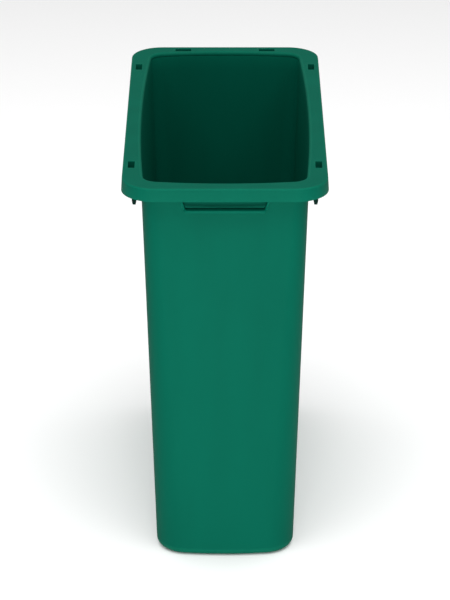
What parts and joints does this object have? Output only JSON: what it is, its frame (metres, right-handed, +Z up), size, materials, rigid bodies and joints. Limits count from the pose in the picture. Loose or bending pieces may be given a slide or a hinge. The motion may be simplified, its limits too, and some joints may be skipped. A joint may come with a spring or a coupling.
{
  "type": "litter bin",
  "caption": "Slim tapered open-topped litter bin with a rear-hinged bag collar, side lid sockets, rear lid slots and a front finger grip.",
  "frame": {"origin": "middle of the base, on the floor that the foot ring stands on", "axes": "+Z up, front of the bin towards -Y, +X to the right when seen from the front"},
  "size_m": [0.287, 0.594, 0.59],
  "materials": {
    "bin_plastic": "satin moulded",
    "dark_nylon": "matte moulded",
    "pin_steel": "drawn wire"
  },
  "bodies": {
    "tub": {"tub": "bin_plastic", "hinge_pin_left": "pin_steel", "hinge_pin_right": "pin_steel"},
    "collar": {"collar": "bin_plastic", "front_grip": "bin_plastic", "locating_peg_left": "dark_nylon", "locating_peg_right": "dark_nylon"}
  },
  "joints": [
    {"name": "collar_hinge", "type": "hinge", "parent": "tub", "child": "collar", "pos_m": [0, 0.287, 0.574], "axis": [-1, 0, 0], "range_deg": [0, 95]}
  ]
}
